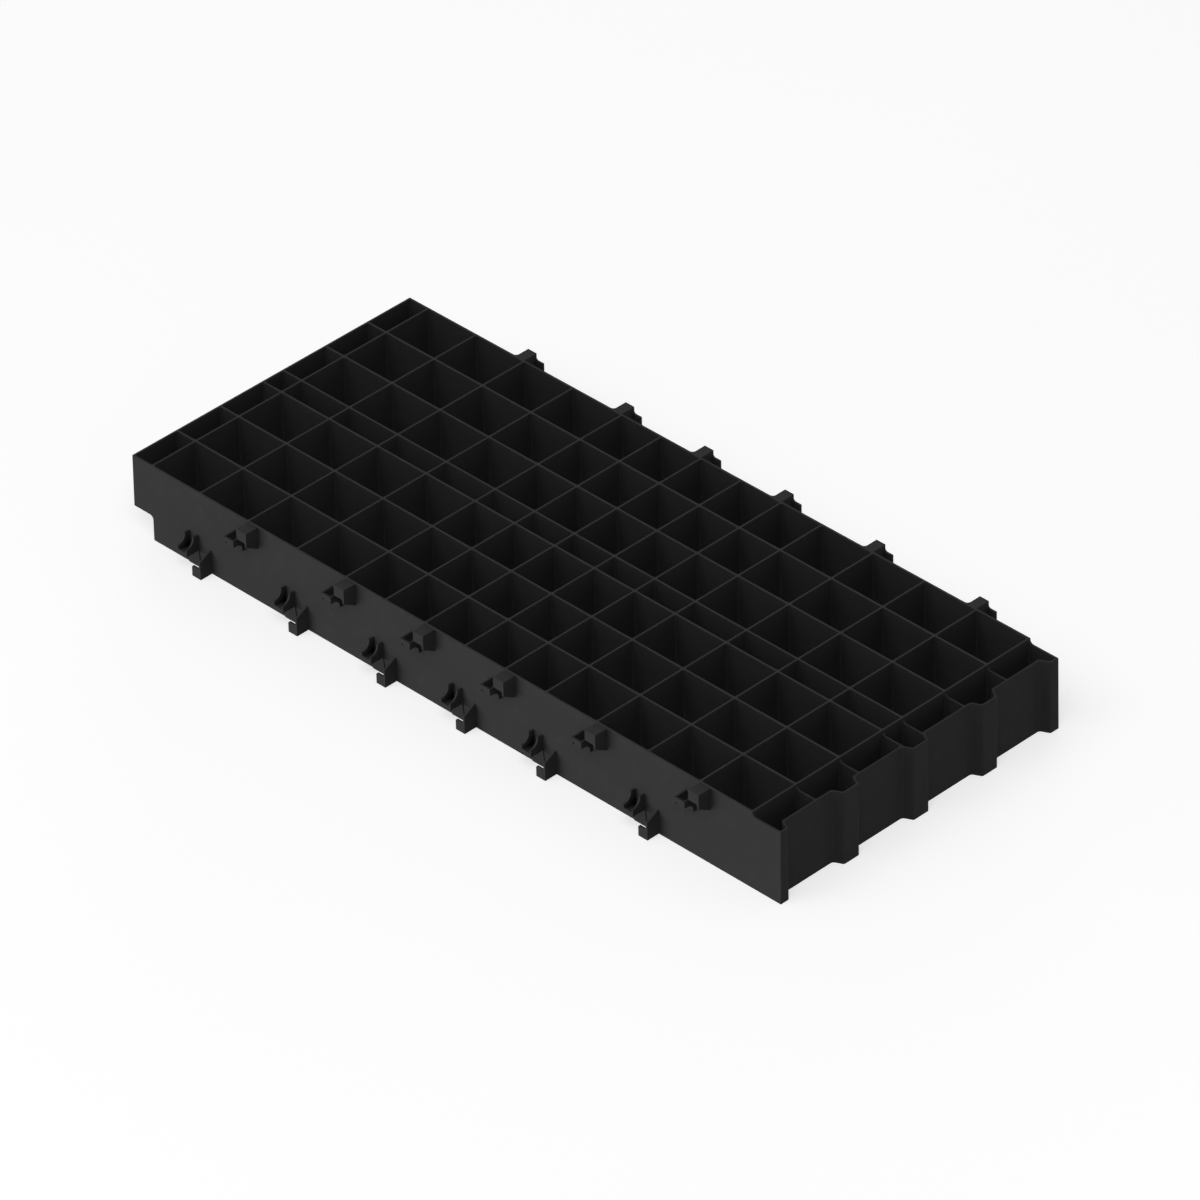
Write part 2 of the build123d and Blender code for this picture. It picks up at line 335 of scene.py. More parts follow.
class Tree:
    """Short-hand for building a node tree in the script."""

    def __init__(self, tree: bpy.types.NodeTree) -> None:
        """Wrap a tree that holds no nodes yet."""
        self.tree = tree
        self.names: dict[str, str] = {}

    @classmethod
    def geometry(cls, name: str) -> "Tree":
        """A new geometry tree that takes a geometry and a material and gives a geometry.

        Args:
            name: The tree's name.

        Returns:
            The tree, which `close` ends.
        """
        tree = cls(bpy.data.node_groups.new(name, "GeometryNodeTree"))
        tree.add_input("Geometry", "NodeSocketGeometry")
        tree.add_input("Material", "NodeSocketMaterial")
        tree.tree.interface.new_socket("Geometry", in_out="OUTPUT", socket_type="NodeSocketGeometry")
        return tree

    def add_input(self, name: str, kind: str) -> None:
        """Add a named input and remember its identifier."""
        socket = self.tree.interface.new_socket(name, in_out="INPUT", socket_type=kind)
        self.names[name] = socket.identifier

    def node(self, kind: str, **inputs: object) -> bpy.types.Node:
        """Add a node.

        Args:
            kind: The node's type.
            **inputs: Node properties in small letters, and input values or links by the
                socket's name with spaces as underscores.

        Returns:
            The new node.
        """
        made = self.tree.nodes.new(kind)
        for key in [key for key in inputs if key == key.lower()]:
            setattr(made, key, inputs.pop(key))
        for key, value in inputs.items():
            self.feed(made.inputs[key.replace("_", " ")], value)
        return made

    def link(self, source: bpy.types.NodeSocket, target: bpy.types.NodeSocket) -> None:
        """Join two sockets."""
        self.tree.links.new(source, target)

    def feed(self, socket: bpy.types.NodeSocket, value: object) -> None:
        """Give an input what it works on.

        Args:
            socket: The input.
            value: A socket to join to it, or the value that it holds.
        """
        if isinstance(value, bpy.types.NodeSocket):
            self.link(value, socket)
        else:
            socket.default_value = value

    def math(self, operation: str, *values: object) -> bpy.types.NodeSocket:
        """Add a maths node.

        Args:
            operation: What it works out.
            *values: Its sockets or numbers, in order.

        Returns:
            Its result.
        """
        made = self.node("ShaderNodeMath", operation=operation)
        for socket, value in zip(made.inputs, values):
            self.feed(socket, value)
        return made.outputs[0]

    def close(self, geometry: bpy.types.NodeSocket, material: bpy.types.NodeSocket) -> None:
        """End a geometry tree in Realize Instances and Set Material.

        Args:
            geometry: What the tree has made.
            material: What it is dressed in.
        """
        real = self.node("GeometryNodeRealizeInstances", Geometry=geometry)
        dressed = self.node("GeometryNodeSetMaterial", Geometry=real.outputs[0], Material=material)
        self.link(dressed.outputs[0], self.node("NodeGroupOutput").inputs[0])

    def put_on(self, target: bpy.types.Object, **values: object) -> None:
        """Add the tree to an object as a modifier and set its inputs by identifier.

        Args:
            target: The object.
            **values: Input values by the input's name with spaces as underscores.
        """
        modifier = target.modifiers.new(self.tree.name, "NODES")
        modifier.node_group = self.tree
        for name, value in values.items():
            modifier[self.names[name.replace("_", " ")]] = value


# ---------------------------------------------------------------- finish
@dataclass(frozen=True)
class MouldedPlastic:
    """Black polypropylene as it leaves a spark-eroded mould: matt, with a fine grain."""

    name: str = "black_polypropylene"
    deep: float = 0.0285         # linear grey where the flow of the melt is darkest
    pale: float = 0.0335         # and where it is palest
    blue: float = 1.02           # blue against red and green
    refraction: float = 1.49
    specular: float = 0.05       # as little as the eroded grain leaves
    roughness_low: float = 0.66
    roughness_high: float = 0.80
    grain_pitch: float = 0.45 * MM
    grain_depth: float = 0.022 * MM
    wave_pitch: float = 14 * MM
    wave_depth: float = 0.12 * MM
    flow_pitch: float = 55 * MM
    flow_stretch: tuple[float, float, float] = (0.45, 1.0, 1.6)
    flow_tint: tuple[float, float] = (0.35, 0.68)      # share of the noise from dark to pale
    flow_gloss: tuple[float, float] = (0.3, 0.7)       # and from satin to matt
    scuff_pitch: float = 9 * MM
    scuff_span: tuple[float, float] = (0.52, 0.78)     # share of the noise from none to full
    scuff_pale: float = 1.35     # a scuff's grey against the palest
    scuff_cover: float = 0.3     # how much of that grey shows
    scuff_gloss: float = 0.08    # how much smoother a scuff is

    def material(self) -> bpy.types.Material:
        """Build the material's nodes, or return it if it is there.

        Returns:
            The material.
        """
        if self.name in bpy.data.materials:
            return bpy.data.materials[self.name]
        made = bpy.data.materials.new(self.name)
        made.use_nodes = True
        made.node_tree.nodes.clear()
        tree = Tree(made.node_tree)
        place = tree.node("ShaderNodeTexCoord").outputs["Object"]
        flow = self._flow(tree, place)
        scuff = self._scuffs(tree, place)
        shader = tree.node(
            "ShaderNodeBsdfPrincipled", IOR=self.refraction, Specular_IOR_Level=self.specular,
        )
        tree.link(self._colour(tree, flow, scuff), shader.inputs["Base Color"])
        tree.link(self._roughness(tree, flow, scuff), shader.inputs["Roughness"])
        tree.link(self._grain(tree, place), shader.inputs["Normal"])
        output = tree.node("ShaderNodeOutputMaterial")
        tree.link(shader.outputs["BSDF"], output.inputs["Surface"])
        return made

    @staticmethod
    def _noise(
        tree: Tree, place: bpy.types.NodeSocket, pitch: float, **character: float,
    ) -> bpy.types.NodeSocket:
        """Noise over the tray.

        Args:
            tree: The material's tree.
            place: Where on the tray.
            pitch: Size of the noise's patches.
            **character: The noise node's other inputs.

        Returns:
            Its value, from 0 to 1.
        """
        noise = tree.node("ShaderNodeTexNoise", Vector=place, Scale=1 / pitch, **character)
        return noise.outputs["Fac"]

    def _flow(self, tree: Tree, place: bpy.types.NodeSocket) -> bpy.types.NodeSocket:
        """Broad clouds where the melt flowed and cooled, drawn out along the tray.

        Args:
            tree: The material's tree.
            place: Where on the tray.

        Returns:
            The clouds' value.
        """
        stretch = tree.node("ShaderNodeMapping", Vector=place, Scale=self.flow_stretch)
        return self._noise(
            tree, stretch.outputs["Vector"], self.flow_pitch,
            Detail=5.0, Roughness=0.55, Distortion=0.6,
        )

    def _scuffs(self, tree: Tree, place: bpy.types.NodeSocket) -> bpy.types.NodeSocket:
        """Faint rubbed patches from stacking, sparse and soft-edged.

        Args:
            tree: The material's tree.
            place: Where on the tray.

        Returns:
            How scuffed a place is, from 0 to 1.
        """
        noise = self._noise(tree, place, self.scuff_pitch, Detail=8.0, Roughness=0.7)
        ramp = tree.node("ShaderNodeValToRGB", Fac=noise)
        for element, position in zip(ramp.color_ramp.elements, self.scuff_span):
            element.position = position
        return ramp.outputs["Color"]

    def _colour(
        self, tree: Tree, flow: bpy.types.NodeSocket, scuff: bpy.types.NodeSocket,
    ) -> bpy.types.NodeSocket:
        """Near-black that follows the flow and pales a little where it is scuffed.

        Args:
            tree: The material's tree.
            flow: The clouds' value.
            scuff: How scuffed a place is.

        Returns:
            The base colour.
        """
        ramp = tree.node("ShaderNodeValToRGB", Fac=flow)
        ends = zip(ramp.color_ramp.elements, (self.deep, self.pale), self.flow_tint)
        for element, level, position in ends:
            element.color = (level, level, level * self.blue, 1.0)
            element.position = position
        worn = self.pale * self.scuff_pale
        mix = tree.node("ShaderNodeMix", data_type="RGBA")
        tree.link(tree.math("MULTIPLY", scuff, self.scuff_cover), mix.inputs["Factor"])
        tree.feed(mix.inputs[MIX_FIRST], ramp.outputs["Color"])
        tree.feed(mix.inputs[MIX_SECOND], (worn, worn, worn, 1.0))
        return mix.outputs[MIX_RESULT]

    def _roughness(
        self, tree: Tree, flow: bpy.types.NodeSocket, scuff: bpy.types.NodeSocket,
    ) -> bpy.types.NodeSocket:
        """Satin to matt with the flow, a touch smoother where it is rubbed.

        Args:
            tree: The material's tree.
            flow: The clouds' value.
            scuff: How scuffed a place is.

        Returns:
            The roughness.
        """
        satin, matt = self.flow_gloss
        spread = tree.node(
            "ShaderNodeMapRange", Value=flow, From_Min=satin, From_Max=matt,
            To_Min=self.roughness_low, To_Max=self.roughness_high,
        )
        rubbed = tree.math("MULTIPLY", scuff, self.scuff_gloss)
        return tree.math("SUBTRACT", spread.outputs["Result"], rubbed)

    def _grain(self, tree: Tree, place: bpy.types.NodeSocket) -> bpy.types.NodeSocket:
        """Fine pits of the eroded mould, over a slight waviness of the panels.

        Args:
            tree: The material's tree.
            place: Where on the tray.

        Returns:
            The normal.
        """
        pits = self._noise(tree, place, self.grain_pitch, Detail=2.0, Roughness=0.6)
        waves = self._noise(tree, place, self.wave_pitch, Detail=1.0, Roughness=0.4)
        broad = tree.node(
            "ShaderNodeBump", Height=waves, Strength=0.35, Distance=self.wave_depth,
        )
        fine = tree.node(
            "ShaderNodeBump", Height=pits, Normal=broad.outputs["Normal"],
            Strength=0.5, Distance=self.grain_depth,
        )
        return fine.outputs["Normal"]


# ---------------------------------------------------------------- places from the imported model
def numbered(stem: str) -> list[str]:
    """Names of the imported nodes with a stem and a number, in order."""
    return sorted(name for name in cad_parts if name.startswith(stem + "_") and name[-1].isdigit())


def middle(node: str, axis: int) -> float:
    """Middle of a node's box along an axis."""
    low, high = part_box(node)
    return (low[axis] + high[axis]) / 2


@dataclass(frozen=True)
class Plan:
    """The tray's places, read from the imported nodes."""

    fillet: float = 1.5 * MM     # in each corner where two panels meet
    panel: float = field(init=False)
    cross: tuple[float, ...] = field(init=False)
    long: tuple[float, ...] = field(init=False)
    bars: tuple[float, ...] = field(init=False)
    inner_front: float = field(init=False)
    inner_rear: float = field(init=False)
    height: float = field(init=False)
    plain_inner: float = field(init=False)
    plain_foot: float = field(init=False)
    plain_lift: float = field(init=False)
    recess: float = field(init=False)
    crest: float = field(init=False)
    wavy_top: float = field(init=False)
    lean: float = field(init=False)

    def __post_init__(self) -> None:
        """Read every place once."""
        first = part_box("cross_divider_01")
        plain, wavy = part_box("plain_end_wall"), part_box("wavy_end_wall")
        panel = first[1][0] - first[0][0] - 2 * self.fillet
        half = panel / 2
        drop = first[1][2] - plain[0][2]
        values = {
            "panel": panel,
            "cross": tuple(middle(name, 0) for name in numbered("cross_divider")),
            "long": tuple(middle(name, 1) for name in numbered("long_divider")),
            "bars": tuple(middle(name, 1) for name in numbered("plug_rest_bar")),
            "inner_front": first[0][1],
            "inner_rear": first[1][1],
            "height": first[1][2],
            "plain_inner": plain[1][0],
            "plain_foot": plain[0][0],
            "plain_lift": plain[0][2],
            "recess": wavy[0][0] + half,
            "crest": wavy[1][0] - half,
            "wavy_top": wavy[1][2],
            "lean": (plain[1][0] - panel - plain[0][0]) / drop,
        }
        for name, value in values.items():
            object.__setattr__(self, name, value)

    @property
    def rows(self) -> list[tuple[float, float]]:
        """The rows of cells and the channel.

        Returns:
            Low and high face of each, along Y.
        """
        half = self.panel / 2
        lows = [self.inner_front] + [y + half for y in self.long]
        highs = [y - half for y in self.long] + [self.inner_rear]
        return list(zip(lows, highs))

    @property
    def columns(self) -> list[tuple[float, float]]:
        """The columns of cells and the plain end bay.

        Returns:
            Low and high face of each, along X.
        """
        half = self.panel / 2
        lows = [self.plain_inner] + [x + half for x in self.cross[:-1]]
        highs = [x - half for x in self.cross]
        return list(zip(lows, highs))


# ---------------------------------------------------------------- walls and dividers
@dataclass
class MouldedGrid:
    """Walls and dividers as one seamless shell, cut to the tray's side view."""

    plan: Plan
    finish: MouldedPlastic
    corner_steps: int = 6
    notch_radius: float = 3.5 * MM
    step_radius: float = 3.0 * MM
    wave_crest_half: float = 7.0 * MM
    wave_base_half: float = 10.75 * MM
    wave_radius: float = 2.6 * MM
    wave_bumps: int = 4
    edge: float = 0.22 * MM
    beyond: float = 20 * MM      # how far the end cutters run past the tray

    def wave(self) -> list[Corner]:
        """Middle line of the wavy wall.

        Returns:
            Its corners along +Y, from half a pitch before the front face to half a pitch past
            the rear one.
        """
        plan = self.plan
        low, high = plan.inner_front - plan.panel, plan.inner_rear + plan.panel
        pitch = (high - low) / self.wave_bumps
        line = [Corner(plan.crest, low - pitch / 2)]
        for bump in range(self.wave_bumps + 1):
            centre = low + bump * pitch
            if bump > 0:
                line.append(Corner(plan.recess, centre - self.wave_base_half, self.wave_radius))
                line.append(Corner(plan.crest, centre - self.wave_crest_half, self.wave_radius))
            if bump < self.wave_bumps:
                line.append(Corner(plan.crest, centre + self.wave_crest_half, self.wave_radius))
                line.append(Corner(plan.recess, centre + self.wave_base_half, self.wave_radius))
        line.append(Corner(plan.crest, high + pitch / 2))
        return line

    def outer_loop(self) -> list[Corner]:
        """Outline of the whole tray at its top, clips left out.

        Returns:
            Its corners in order.
        """
        plan = self.plan
        low, high = plan.inner_front - plan.panel, plan.inner_rear + plan.panel
        plain = plan.plain_inner - plan.panel
        line = offset_line(self.wave(), -plan.panel / 2)
        outer = line[0].x
        return [
            Corner(plain, low), Corner(outer, low),
            *line[1:-1],
            Corner(outer, high), Corner(plain, high),
        ]

    def wavy_bays(self) -> list[list[Corner]]:
        """Openings between the last cross divider and the wavy wall.

        Returns:
            The corners of each.
        """
        plan = self.plan
        left = plan.cross[-1] + plan.panel / 2
        line = offset_line(self.wave(), plan.panel / 2)
        loops = []
        for low, high in plan.rows:
            far = [corner for corner in line if low < corner.y < high]
            loops.append([
                Corner(left, low, plan.fillet),
                Corner(line_x(line, low), low, plan.fillet),
                *far,
                Corner(line_x(line, high), high, plan.fillet),
                Corner(left, high, plan.fillet),
            ])
        return loops

    def seed_mesh(self) -> bpy.types.Mesh:
        """One vertex at each cell's middle with its size, and the odd outlines as edges.

        Returns:
            The mesh that the geometry tree starts from.
        """
        points: list[tuple[float, float, float]] = []
        sizes: list[tuple[float, float, float]] = []
        edges: list[tuple[int, int]] = []
        for left, right in self.plan.columns:
            for low, high in self.plan.rows:
                points.append(((left + right) / 2, (low + high) / 2, 0.0))
                sizes.append((right - left, high - low, 0.0))
        for corners in [self.outer_loop(), *self.wavy_bays()]:
            loop = rounded_loop(corners, self.corner_steps)
            start = len(points)
            points += [(point.x, point.y, 0.0) for point in loop]
            sizes += [(0.0, 0.0, 0.0)] * len(loop)
            edges += [(start + n, start + (n + 1) % len(loop)) for n in range(len(loop))]
        mesh = bpy.data.meshes.new("grid_seed")
        mesh.from_pydata(points, edges, [])
        size = mesh.attributes.new("cell_size", "FLOAT_VECTOR", "POINT")
        size.data.foreach_set("vector", [value for row in sizes for value in row])
        return mesh

    def tree(self) -> Tree:
        """Geometry tree: rounded cells and odd outlines, filled, raised and leaned.

        Returns:
            The tree with its named inputs.
        """
        tree = Tree.geometry("moulded_grid")
        for name in ("Height", "Cell Radius", "Lean", "Inner Front", "Inner Rear", "Plain Inner"):
            tree.add_input(name, "NodeSocketFloat")
        tree.add_input("Corner Steps", "NodeSocketInt")
        given = tree.node("NodeGroupInput").outputs
        size = tree.node("GeometryNodeInputNamedAttribute", data_type="FLOAT_VECTOR")
        size.inputs["Name"].default_value = "cell_size"
        length = tree.node("ShaderNodeSeparateXYZ", Vector=size.outputs["Attribute"]).outputs["X"]
        is_cell = tree.math("GREATER_THAN", length, WELD)
        split = tree.node(
            "GeometryNodeSeparateGeometry", Geometry=given["Geometry"], Selection=is_cell,
        )
        cells = self._cells(tree, split.outputs["Selection"], size.outputs["Attribute"], given)
        odd = tree.node("GeometryNodeMeshToCurve", Mesh=split.outputs["Inverted"])
        outlines = tree.node("GeometryNodeJoinGeometry")
        tree.link(cells, outlines.inputs[0])
        tree.link(odd.outputs[0], outlines.inputs[0])
        section = tree.node("GeometryNodeFillCurve", Curve=outlines.outputs[0], mode="TRIANGLES")
        up = tree.node("ShaderNodeCombineXYZ", Z=given["Height"]).outputs[0]
        raised = tree.node(
            "GeometryNodeExtrudeMesh", Mesh=section.outputs[0], Offset=up,
            Offset_Scale=1.0, Individual=False,
        )
        foot = tree.node("GeometryNodeFlipFaces", Mesh=section.outputs[0])
        shell = tree.node("GeometryNodeJoinGeometry")
        tree.link(raised.outputs["Mesh"], shell.inputs[0])
        tree.link(foot.outputs[0], shell.inputs[0])
        closed = tree.node("GeometryNodeMergeByDistance", Geometry=shell.outputs[0], Distance=WELD)
        tree.close(self._leaned(tree, closed.outputs[0], given), given["Material"])
        return tree

    def _cells(
        self, tree: Tree, points: bpy.types.NodeSocket, size: bpy.types.NodeSocket,
        given: bpy.types.NodeOutputs,
    ) -> bpy.types.NodeSocket:
        """One rounded rectangle at each point, as long and wide as the point says.

        Args:
            tree: The geometry tree.
            points: The cells' middles.
            size: The cells' sizes.
            given: The tree's inputs.

        Returns:
            The cells' outlines.
        """
        end = tree.tree.nodes.new("GeometryNodeForeachGeometryElementOutput")
        start = tree.tree.nodes.new("GeometryNodeForeachGeometryElementInput")
        start.pair_with_output(end)
        end.domain = "POINT"
        end.input_items.new("VECTOR", "Size")
        end.input_items.new("VECTOR", "Centre")
        tree.link(points, start.inputs["Geometry"])
        tree.link(size, start.inputs["Size"])
        tree.link(tree.node("GeometryNodeInputPosition").outputs[0], start.inputs["Centre"])
        sides = tree.node("ShaderNodeSeparateXYZ", Vector=start.outputs["Size"]).outputs
        cell = tree.node(
            "GeometryNodeCurvePrimitiveQuadrilateral", Width=sides["X"], Height=sides["Y"],
        )
        rounded = tree.node(
            "GeometryNodeFilletCurve", Curve=cell.outputs[0], Count=given["Corner Steps"],
            Radius=given["Cell Radius"], mode="POLY",
        )
        placed = tree.node(
            "GeometryNodeTransform", Geometry=rounded.outputs[0], Translation=start.outputs["Centre"],
        )
        generated = [socket for socket in end.inputs if socket.type == "GEOMETRY"][-1]
        tree.link(placed.outputs[0], generated)
        return [socket for socket in end.outputs if socket.type == "GEOMETRY"][-1]

    def _leaned(
        self, tree: Tree, shell: bpy.types.NodeSocket, given: bpy.types.NodeOutputs,
    ) -> bpy.types.NodeSocket:
        """Move the outer faces of the walls out towards the foot.

        Args:
            tree: The geometry tree.
            shell: The upright shell.
            given: The tree's inputs.

        Returns:
            The leaned shell.
        """
        place = tree.node("GeometryNodeInputPosition").outputs[0]
        x, y, z = tree.node("ShaderNodeSeparateXYZ", Vector=place).outputs
        shift = tree.math("MULTIPLY", given["Lean"], tree.math("SUBTRACT", given["Height"], z))
        skin = self.plan.panel / 2
        front = tree.math("LESS_THAN", y, tree.math("SUBTRACT", given["Inner Front"], skin))
        rear = tree.math("GREATER_THAN", y, tree.math("ADD", given["Inner Rear"], skin))
        plain = tree.math("LESS_THAN", x, tree.math("SUBTRACT", given["Plain Inner"], skin))
        move = tree.node("ShaderNodeCombineXYZ")
        tree.link(tree.math("MULTIPLY", shift, tree.math("MULTIPLY", plain, -1.0)), move.inputs["X"])
        tree.link(tree.math("MULTIPLY", shift, tree.math("SUBTRACT", rear, front)), move.inputs["Y"])
        moved = tree.node("GeometryNodeSetPosition", Geometry=shell, Offset=move.outputs[0])
        return moved.outputs[0]

    def end_cutters(self) -> list[bpy.types.Object]:
        """Prisms for the notch under the plain end and the lower top of the wavy end.

        Returns:
            The two cutters.
        """
        plan = self.plan
        half = plan.panel / 2
        first, last = plan.cross[0] - half, plan.cross[-1] + half
        low, high = plan.inner_front - self.beyond, plan.inner_rear + self.beyond
        notch = [
            Corner(plan.plain_foot - self.beyond, -self.beyond),
            Corner(first, -self.beyond),
            Corner(first, plan.plain_lift, self.notch_radius),
            Corner(plan.plain_foot - self.beyond, plan.plain_lift),
        ]
        step = [
            Corner(last, plan.wavy_top, self.step_radius),
            Corner(plan.crest + self.beyond, plan.wavy_top),
            Corner(plan.crest + self.beyond, plan.height + self.beyond),
            Corner(last, plan.height + self.beyond),
        ]
        return [
            new_object(name, prism(rounded_loop(loop, 2 * self.corner_steps), low, high, name))
            for name, loop in (("notch_cutter", notch), ("step_cutter", step))
        ]

    def build(self) -> bpy.types.Object:
        """Make the shell and put it in place of the panels and walls.

        Returns:
            The finished piece.
        """
        plan = self.plan
        seed = new_object("grid_seed", self.seed_mesh())
        self.tree().put_on(
            seed, Height=plan.height, Cell_Radius=plan.fillet, Lean=plan.lean,
            Inner_Front=plan.inner_front, Inner_Rear=plan.inner_rear,
            Plain_Inner=plan.plain_inner, Corner_Steps=self.corner_steps,
            Material=self.finish.material(),
        )
        block = new_object("grid_block", baked(seed, "grid_block"))
        cutters = self.end_cutters()
        for cutter in cutters:
            cut = block.modifiers.new(cutter.name, "BOOLEAN")
            cut.operation, cut.solver, cut.object = "DIFFERENCE", "MANIFOLD", cutter
        mesh = baked(block, "moulded_grid")
        for cutter in cutters:
            bpy.data.objects.remove(cutter)
        round_edges(mesh, self.edge)
        piece = new_object("moulded_grid", shaded(mesh))
        walls = ["front_wall", "rear_wall", "plain_end_wall", "wavy_end_wall"]
        finished(piece, walls + numbered("cross_divider") + numbered("long_divider"), self.finish)
        return piece


# ---------------------------------------------------------------- plug rest bars
@dataclass
class RestBars:
    """Bars at the foot of the cells, one short run in each cell of a row."""

    plan: Plan
    finish: MouldedPlastic
    edge: float = 0.3 * MM

    def tree(self) -> Tree:
        """Geometry tree: a bar in each cell, as long as the cell.

        Returns:
            The tree with its named inputs.
        """
        tree = Tree.geometry("rest_bar_runs")
        for name in ("Width", "Height"):
            tree.add_input(name, "NodeSocketFloat")
        given = tree.node("NodeGroupInput").outputs
        run = tree.node("GeometryNodeInputNamedAttribute", data_type="FLOAT")
        run.inputs["Name"].default_value = "run"
        box = tree.node("ShaderNodeCombineXYZ", X=1.0, Y=given["Width"], Z=given["Height"])
        bar = tree.node("GeometryNodeMeshCube", Size=box.outputs[0])
        stretch = tree.node("ShaderNodeCombineXYZ", X=run.outputs["Attribute"], Y=1.0, Z=1.0)
        runs = tree.node(
            "GeometryNodeInstanceOnPoints", Points=given["Geometry"],
            Instance=bar.outputs["Mesh"], Scale=stretch.outputs[0],
        )
        tree.close(runs.outputs[0], given["Material"])
        return tree

    def build(self) -> list[bpy.types.Object]:
        """Make one piece for each packed bar.

        Returns:
            The finished pieces.
        """
        tree = self.tree()
        columns = self.plan.columns[1:]
        pieces = []
        for node, y in zip(numbered("plug_rest_bar"), self.plan.bars):
            low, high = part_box(node)
            seed_mesh = bpy.data.meshes.new(node + "_seed")
            middle_z = (low[2] + high[2]) / 2
            seed_mesh.from_pydata([((a + b) / 2, y, middle_z) for a, b in columns], [], [])
            run = seed_mesh.attributes.new("run", "FLOAT", "POINT")
            run.data.foreach_set("value", [b - a for a, b in columns])
            seed = new_object(node + "_seed", seed_mesh)
            tree.put_on(
                seed, Width=high[1] - low[1], Height=high[2] - low[2],
                Material=self.finish.material(),
            )
            name = node.replace("plug_rest_bar", "rest_bar_runs")
            mesh = baked(seed, name)
            round_edges(mesh, self.edge, leave=lambda edge: edge_across(edge, 0))
            piece = new_object(name, shaded(mesh))
            finished(piece, [node], self.finish)
            pieces.append(piece)
        return pieces


def edge_across(edge: bmesh.types.BMEdge, axis: int) -> bool:
    """Whether an edge is square to an axis."""
    start, end = edge.verts
    return abs(start.co[axis] - end.co[axis]) < WELD


# ---------------------------------------------------------------- coupling clips
class Flank(Enum):
    """The tray's long sides, by the direction in which they face."""

    FRONT = -1
    REAR = 1


@dataclass(frozen=True)
class ClipKind:
    """One kind of clip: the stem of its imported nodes, its pieces' name and its side."""

    stem: str
    piece: str
    flank: Flank


@dataclass
class Clips:
    """Coupling clips with moulded edges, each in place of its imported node."""

    plan: Plan
    finish: MouldedPlastic
    edge: float = 0.22 * MM
    near: float = 0.05 * MM      # an edge nearer to the wall's face than this lies on it
    kinds: tuple[ClipKind, ...] = (
        ClipKind("front_latch", "latch", Flank.FRONT),
        ClipKind("front_cradle", "cradle", Flank.FRONT),
        ClipKind("front_hook", "hook", Flank.FRONT),
        ClipKind("rear_tab", "tab", Flank.REAR),
        ClipKind("rear_catch", "catch", Flank.REAR),
    )

    def on_wall(self, flank: Flank) -> Callable[[bmesh.types.BMEdge], bool]:
        """A test for edges that lie on the outer face of a side wall.

        Args:
            flank: The side that the wall is on.

        Returns:
            The test.
        """
        plan = self.plan
        inner = plan.inner_front if flank is Flank.FRONT else plan.inner_rear

        def face(z: float) -> float:
            """Where the leaning face is along Y at a height."""
            return inner + flank.value * (plan.panel + plan.lean * (plan.height - z))

        def test(edge: bmesh.types.BMEdge) -> bool:
            """Whether both ends of the edge lie on the face."""
            return all(abs(end.co.y - face(end.co.z)) < self.near for end in edge.verts)

        return test

    def build(self) -> list[bpy.types.Object]:
        """Copy each packed clip, round its free edges and dress it.

        Returns:
            The finished pieces.
        """
        pieces = []
        for kind in self.kinds:
            for node in numbered(kind.stem):
                name = node.replace(kind.stem, kind.piece)
                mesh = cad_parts[node].data.copy()
                mesh.name = name
                round_edges(mesh, self.edge, leave=self.on_wall(kind.flank))
                piece = new_object(name, shaded(mesh))
                finished(piece, [node], self.finish)
                pieces.append(piece)
        return pieces


def finished(piece: bpy.types.Object, nodes: Iterable[str], finish: MouldedPlastic) -> None:
    """Dress a piece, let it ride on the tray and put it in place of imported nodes.

    Args:
        piece: The piece's object, at the origin.
        nodes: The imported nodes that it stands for.
        finish: What it is made of.
    """
    piece.data.materials.clear()
    piece.data.materials.append(finish.material())
    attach(piece, "root")
    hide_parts(*nodes)
    log.info("%s: %d faces", piece.name, len(piece.data.polygons))


# ---------------------------------------------------------------- studio
@dataclass(frozen=True)
class SoftBox:
    """A rectangular lamp that points at the tray, by the level that it gives there."""

    name: str
    azimuth: float               # in degrees, as in towards()
    elevation: float
    level: float                 # 1 shows a colour as it is written
    width: float = 3.0
    height: float = 3.0
    reach: float = 6.0           # from the tray to the lamp

    def build(self) -> bpy.types.Object:
        """Make the lamp.

        Returns:
            The lamp's object.
        """
        back = towards(self.azimuth, self.elevation)
        data = bpy.data.lights.new(self.name, "AREA")
        data.shape, data.size, data.size_y = "RECTANGLE", self.width, self.height
        data.energy = self.level * (math.pi * self.reach) ** 2
        made = new_object(self.name, data)
        made.location = back * self.reach
        made.rotation_mode = "QUATERNION"
        made.rotation_quaternion = back.to_track_quat("Z", "Y")
        return made


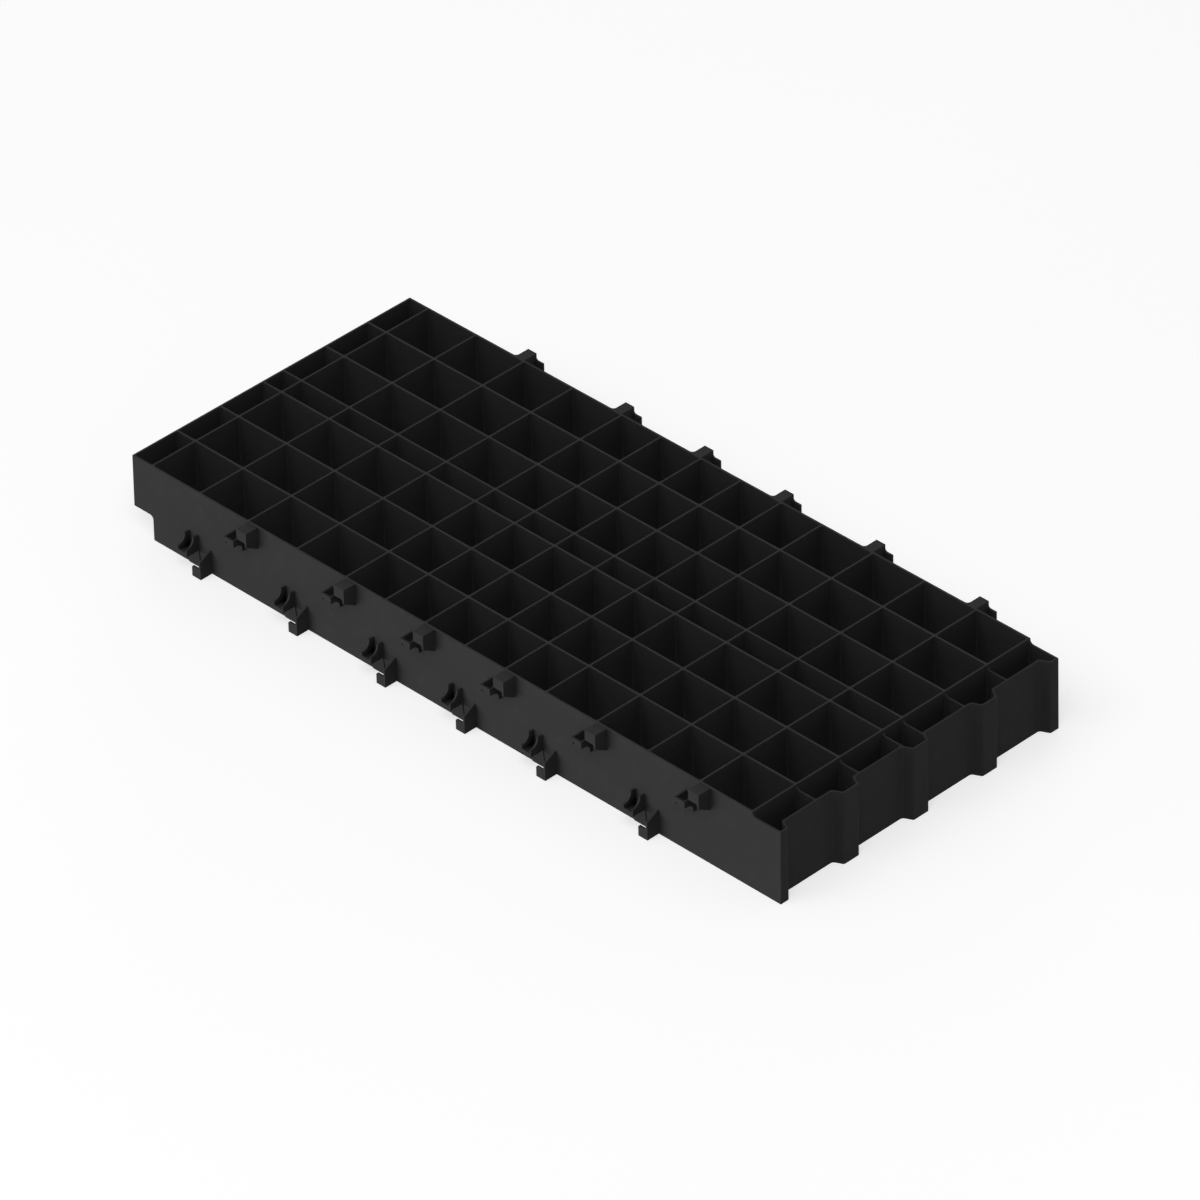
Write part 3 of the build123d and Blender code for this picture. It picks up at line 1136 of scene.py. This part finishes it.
@dataclass
class Studio:
    """Pale floor, a long lens from the front right, and the light.

    A low flat strip at the front left grazes the front wall, a taller one stands behind, two
    soft boxes fill from above, and the world gives even light.
    """

    azimuth: float = 45.902      # of the camera, in degrees, as in towards()
    elevation: float = 35.651
    roll: float = -1.548
    distance: float = 7.026      # from the camera to what it aims at
    lens: float = 297.97         # in millimetres, like the sensor
    sensor: float = 36.0
    clip: tuple[float, float] = (0.1, 100.0)
    aim: tuple[float, float, float] = (0.0086, 0.002345, -0.00574)   # from the CAD box's middle
    ambient: float = 0.3         # level of the world's light on the tray
    floor_colour: float = 0.6
    floor_lift: float = 0.6      # glow that only the camera and reflections see
    floor_size: float = 40.0
    lamps: tuple[SoftBox, ...] = (
        SoftBox(
            "front_strip", azimuth=-26, elevation=0.9, level=0.62,
            width=6.0, height=0.16, reach=9.0,
        ),
        SoftBox("right_fill", azimuth=40, elevation=58, level=0.24),
        SoftBox(
            "rear_strip", azimuth=-145, elevation=4, level=0.4,
            width=6.0, height=1.0, reach=9.0,
        ),
        SoftBox("front_fill", azimuth=-20, elevation=50, level=0.16),
    )

    def camera(self) -> bpy.types.Object:
        """Make the camera and set it as the scene's.

        Returns:
            The camera.
        """
        low, high = CAD_BOX
        target = (low + high) / 2 + Vector(self.aim)
        azimuth = math.radians(self.azimuth)
        back = towards(self.azimuth, self.elevation)
        level = Vector((math.cos(azimuth), math.sin(azimuth), 0))
        turned = Matrix.Rotation(math.radians(self.roll), 3, back)
        right = turned @ level
        up = turned @ back.cross(level)
        data = bpy.data.cameras.new("camera")
        data.lens, data.sensor_width = self.lens, self.sensor
        data.clip_start, data.clip_end = self.clip
        made = new_object("camera", data)
        turn = Matrix((right, up, back)).transposed().to_4x4()
        made.matrix_world = Matrix.Translation(target + back * self.distance) @ turn
        bpy.context.scene.camera = made
        return made

    def seen(self, tree: Tree) -> bpy.types.NodeSocket:
        """Tell the rays that show things from the rays that light the tray.

        Args:
            tree: The tree of the world or of a material.

        Returns:
            1 for camera, mirror and glass rays, 0 for the others.
        """
        path = tree.node("ShaderNodeLightPath").outputs
        direct = tree.math("MAXIMUM", path["Is Camera Ray"], path["Is Glossy Ray"])
        return tree.math("MAXIMUM", direct, path["Is Transmission Ray"])

    def world(self) -> None:
        """Even light from all round, and a white background for camera and reflections."""
        world = bpy.data.worlds.new("studio")
        bpy.context.scene.world = world
        world.use_nodes = True
        world.node_tree.nodes.clear()
        tree = Tree(world.node_tree)
        level = tree.math("MULTIPLY_ADD", self.seen(tree), 1.0 - self.ambient, self.ambient)
        light = tree.node("ShaderNodeBackground", Color=WHITE, Strength=level)
        output = tree.node("ShaderNodeOutputWorld")
        tree.link(light.outputs[0], output.inputs["Surface"])

    def floor(self) -> bpy.types.Object:
        """Make the pale floor that the tray stands on.

        Returns:
            The floor.
        """
        half = self.floor_size / 2
        mesh = bpy.data.meshes.new("floor")
        corners = [(-half, -half, 0), (half, -half, 0), (half, half, 0), (-half, half, 0)]
        mesh.from_pydata(corners, [], [(0, 1, 2, 3)])
        made = new_object("floor", mesh)
        material = bpy.data.materials.new("pale_floor")
        material.use_nodes = True
        material.node_tree.nodes.clear()
        tree = Tree(material.node_tree)
        matt = tree.node("ShaderNodeBsdfDiffuse", Color=(self.floor_colour,) * 3 + (1.0,))
        glow = tree.math("MULTIPLY", self.seen(tree), self.floor_lift)
        lift = tree.node("ShaderNodeEmission", Strength=glow)
        both = tree.node("ShaderNodeAddShader")
        tree.link(matt.outputs[0], both.inputs[0])
        tree.link(lift.outputs[0], both.inputs[1])
        output = tree.node("ShaderNodeOutputMaterial")
        tree.link(both.outputs[0], output.inputs["Surface"])
        mesh.materials.append(material)
        return made

    def build(self) -> None:
        """Set up the camera, the floor, the light and the colour management."""
        bpy.context.scene.view_settings.view_transform = "Standard"
        self.camera()
        self.world()
        self.floor()
        for lamp in self.lamps:
            lamp.build()


# ---------------------------------------------------------------- the whole tray
def main() -> None:
    """Build the tray's pieces in order, then the studio."""
    logging.basicConfig(level=logging.INFO, format="%(name)s %(message)s")
    plan = Plan()
    finish = MouldedPlastic()
    MouldedGrid(plan, finish).build()
    bars = RestBars(plan, finish).build()
    clips = Clips(plan, finish).build()
    log.info("%d rest bars, %d clips", len(bars), len(clips))
    Studio().build()


if __name__ == "__main__":
    main()
